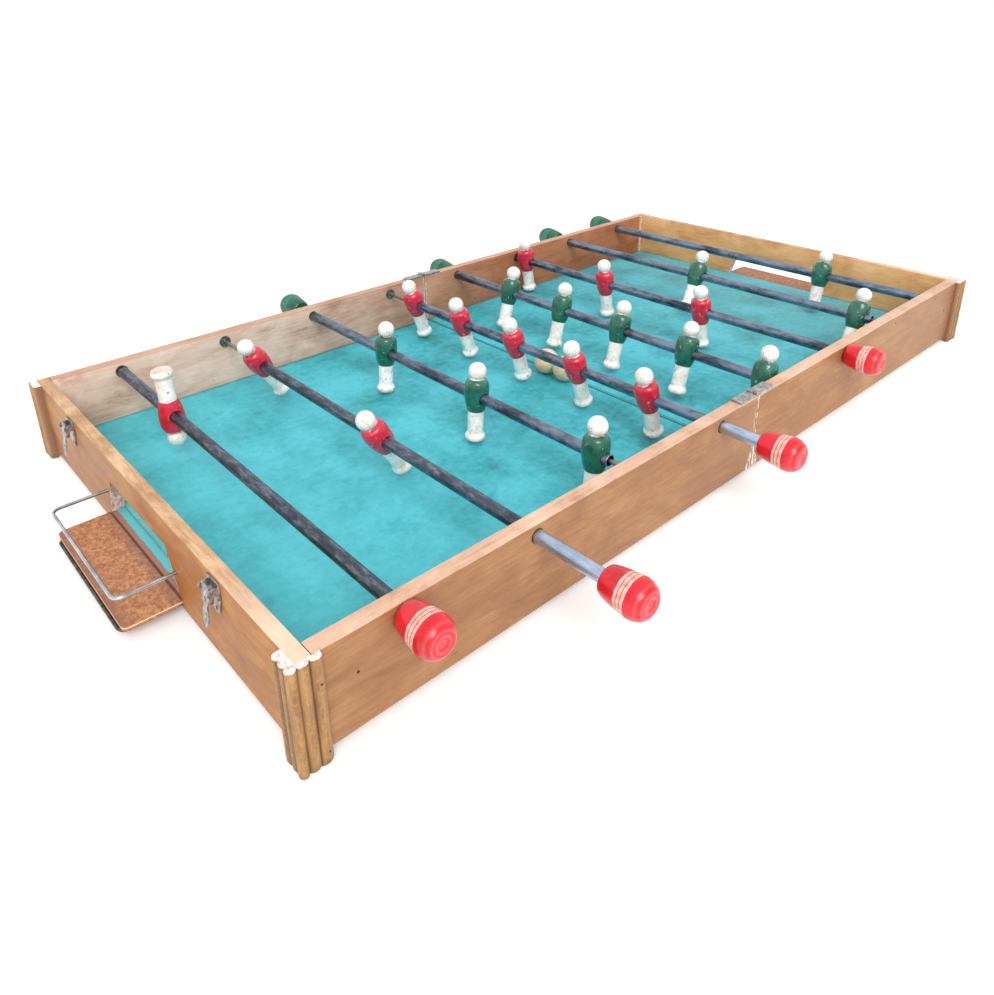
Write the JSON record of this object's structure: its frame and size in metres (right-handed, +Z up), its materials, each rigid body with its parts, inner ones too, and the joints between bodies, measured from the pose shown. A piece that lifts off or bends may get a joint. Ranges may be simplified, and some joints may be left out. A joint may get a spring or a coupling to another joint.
{
  "type": "folding table-top football game",
  "caption": "Wooden table football game that folds shut like a case: hinged half boxes, turned figures on sliding steel rods with knobs, goal openings with trays, latches.",
  "frame": {"origin": "middle of the playing field, on its top surface at the fold line", "axes": "+X along the length from the latch end (left) to the other end, +Y from the red players' side (near) to the green players' side (far), +Z up"},
  "size_m": [1.1716, 0.738, 0.1303],
  "materials": {
    "varnished_wood": "worn varnish",
    "turquoise_paint": "worn matt paint",
    "brown_hardboard": "mottled brown board",
    "tube_steel": "dark worn steel",
    "plated_wire": "plated, dulled",
    "latch_steel": "plated, tarnished",
    "red_paint": "gloss paint, chipped",
    "green_paint": "gloss paint, chipped",
    "ball_wood": "bare turned wood"
  },
  "bodies": {
    "left_half": {"end_wall_left": "varnished_wood", "side_wall_near_left": "varnished_wood", "side_wall_far_left": "varnished_wood", "playfield_left": "turquoise_paint", "hinge_leaf_near_left": "latch_steel", "hinge_leaf_far_left": "latch_steel", "latch_plate_near": "latch_steel", "latch_plate_far": "latch_steel", "goal_tray_left": "brown_hardboard", "goal_fence_left": "plated_wire", "ball_1": "ball_wood", "ball_2": "ball_wood"},
    "right_half": {"end_wall_right": "varnished_wood", "side_wall_near_right": "varnished_wood", "side_wall_far_right": "varnished_wood", "playfield_right": "turquoise_paint", "hinge_leaf_near_right": "latch_steel", "hinge_leaf_far_right": "latch_steel", "goal_tray_right": "brown_hardboard", "goal_fence_right": "plated_wire"},
    "lever_near": {"latch_lever_near": "latch_steel"},
    "lever_far": {"latch_lever_far": "latch_steel"},
    "tube_1": {"rod_1_tube": "tube_steel"},
    "tube_2": {"rod_2_tube": "tube_steel"},
    "tube_3": {"rod_3_tube": "tube_steel"},
    "tube_4": {"rod_4_tube": "tube_steel"},
    "tube_5": {"rod_5_tube": "tube_steel"},
    "tube_6": {"rod_6_tube": "tube_steel"},
    "tube_7": {"rod_7_tube": "tube_steel"},
    "tube_8": {"rod_8_tube": "tube_steel"},
    "handle_1": {"rod_1_handle": "red_paint"},
    "handle_2": {"rod_2_handle": "red_paint"},
    "handle_3": {"rod_3_handle": "green_paint"},
    "handle_4": {"rod_4_handle": "red_paint"},
    "handle_5": {"rod_5_handle": "green_paint"},
    "handle_6": {"rod_6_handle": "red_paint"},
    "handle_7": {"rod_7_handle": "green_paint"},
    "handle_8": {"rod_8_handle": "green_paint"},
    "players_1": {"rod_1_figure_1": "red_paint"},
    "players_2": {"rod_2_figure_1": "red_paint", "rod_2_figure_2": "red_paint"},
    "players_3": {"rod_3_figure_1": "green_paint", "rod_3_figure_2": "green_paint", "rod_3_figure_3": "green_paint"},
    "players_4": {"rod_4_figure_1": "red_paint", "rod_4_figure_2": "red_paint", "rod_4_figure_3": "red_paint", "rod_4_figure_4": "red_paint", "rod_4_figure_5": "red_paint"},
    "players_5": {"rod_5_figure_1": "green_paint", "rod_5_figure_2": "green_paint", "rod_5_figure_3": "green_paint", "rod_5_figure_4": "green_paint", "rod_5_figure_5": "green_paint"},
    "players_6": {"rod_6_figure_1": "red_paint", "rod_6_figure_2": "red_paint", "rod_6_figure_3": "red_paint"},
    "players_7": {"rod_7_figure_1": "green_paint", "rod_7_figure_2": "green_paint"},
    "players_8": {"rod_8_figure_1": "green_paint"}
  },
  "joints": [
    {"name": "fold", "type": "hinge", "parent": "left_half", "child": "right_half", "pos_m": [0, 0, 0.0706], "axis": [0, -1, 0], "range_deg": [0, 180]},
    {"name": "latch_near", "type": "hinge", "parent": "left_half", "child": "lever_near", "pos_m": [-0.5402, -0.168, 0.058], "axis": [0, 1, 0], "range_deg": [-12, 80]},
    {"name": "latch_far", "type": "hinge", "parent": "left_half", "child": "lever_far", "pos_m": [-0.5402, 0.168, 0.058], "axis": [0, 1, 0], "range_deg": [-12, 80]},
    {"name": "slide_1", "type": "slide", "parent": "left_half", "child": "tube_1", "axis": [0, -1, 0], "range_m": [-0.0005, 0.2495]},
    {"name": "slide_2", "type": "slide", "parent": "left_half", "child": "tube_2", "axis": [0, -1, 0], "range_m": [-0.07, 0.185]},
    {"name": "slide_3", "type": "slide", "parent": "left_half", "child": "tube_3", "axis": [0, 1, 0], "range_m": [-0.016, 0.154]},
    {"name": "slide_4", "type": "slide", "parent": "left_half", "child": "tube_4", "axis": [0, -1, 0], "range_m": [-0.043, 0.06]},
    {"name": "slide_5", "type": "slide", "parent": "right_half", "child": "tube_5", "axis": [0, 1, 0], "range_m": [-0.0005, 0.1025]},
    {"name": "slide_6", "type": "slide", "parent": "right_half", "child": "tube_6", "axis": [0, -1, 0], "range_m": [-0.001, 0.169]},
    {"name": "slide_7", "type": "slide", "parent": "right_half", "child": "tube_7", "axis": [0, 1, 0], "range_m": [-0.01, 0.245]},
    {"name": "slide_8", "type": "slide", "parent": "right_half", "child": "tube_8", "axis": [0, 1, 0], "range_m": [-0.003, 0.247]},
    {"name": "spin_1", "type": "hinge", "parent": "tube_1", "child": "handle_1", "pos_m": [-0.448, 0, 0.0564], "axis": [0, 1, 0], "continuous": true},
    {"name": "spin_2", "type": "hinge", "parent": "tube_2", "child": "handle_2", "pos_m": [-0.32, 0, 0.0564], "axis": [0, 1, 0], "continuous": true},
    {"name": "spin_3", "type": "hinge", "parent": "tube_3", "child": "handle_3", "pos_m": [-0.192, 0, 0.0564], "axis": [0, 1, 0], "continuous": true},
    {"name": "spin_4", "type": "hinge", "parent": "tube_4", "child": "handle_4", "pos_m": [-0.064, 0, 0.0564], "axis": [0, 1, 0], "continuous": true},
    {"name": "spin_5", "type": "hinge", "parent": "tube_5", "child": "handle_5", "pos_m": [0.064, 0, 0.0564], "axis": [0, 1, 0], "continuous": true},
    {"name": "spin_6", "type": "hinge", "parent": "tube_6", "child": "handle_6", "pos_m": [0.192, 0, 0.0564], "axis": [0, 1, 0], "continuous": true},
    {"name": "spin_7", "type": "hinge", "parent": "tube_7", "child": "handle_7", "pos_m": [0.32, 0, 0.0564], "axis": [0, 1, 0], "continuous": true},
    {"name": "spin_8", "type": "hinge", "parent": "tube_8", "child": "handle_8", "pos_m": [0.448, 0, 0.0564], "axis": [0, 1, 0], "continuous": true},
    {"name": "lay_flat_1", "type": "hinge", "parent": "handle_1", "child": "players_1", "pos_m": [-0.448, 0, 0.0564], "axis": [0, 1, 0], "range_deg": [-88, 1]},
    {"name": "lay_flat_2", "type": "hinge", "parent": "handle_2", "child": "players_2", "pos_m": [-0.32, 0, 0.0564], "axis": [0, 1, 0], "range_deg": [-60, 1]},
    {"name": "lay_flat_3", "type": "hinge", "parent": "handle_3", "child": "players_3", "pos_m": [-0.192, 0, 0.0564], "axis": [0, 1, 0], "range_deg": [-1, 86.5]},
    {"name": "lay_flat_4", "type": "hinge", "parent": "handle_4", "child": "players_4", "pos_m": [-0.064, 0, 0.0564], "axis": [0, 1, 0], "range_deg": [-73.5, 1]},
    {"name": "lay_flat_5", "type": "hinge", "parent": "handle_5", "child": "players_5", "pos_m": [0.064, 0, 0.0564], "axis": [0, 1, 0], "range_deg": [-1, 75.5]},
    {"name": "lay_flat_6", "type": "hinge", "parent": "handle_6", "child": "players_6", "pos_m": [0.192, 0, 0.0564], "axis": [0, 1, 0], "range_deg": [-82.5, 1]},
    {"name": "lay_flat_7", "type": "hinge", "parent": "handle_7", "child": "players_7", "pos_m": [0.32, 0, 0.0564], "axis": [0, 1, 0], "range_deg": [-1, 67]},
    {"name": "lay_flat_8", "type": "hinge", "parent": "handle_8", "child": "players_8", "pos_m": [0.448, 0, 0.0564], "axis": [0, 1, 0], "range_deg": [-1, 76]}
  ],
  "couplings": [
    {"joint": "lay_flat_1", "follows": "fold", "ratio": -0.48333},
    {"joint": "lay_flat_2", "follows": "fold", "ratio": -0.32778},
    {"joint": "lay_flat_3", "follows": "fold", "ratio": 0.475},
    {"joint": "lay_flat_4", "follows": "fold", "ratio": -0.40278},
    {"joint": "lay_flat_5", "follows": "fold", "ratio": 0.41389},
    {"joint": "lay_flat_6", "follows": "fold", "ratio": -0.45278},
    {"joint": "lay_flat_7", "follows": "fold", "ratio": 0.36667},
    {"joint": "lay_flat_8", "follows": "fold", "ratio": 0.41667}
  ]
}
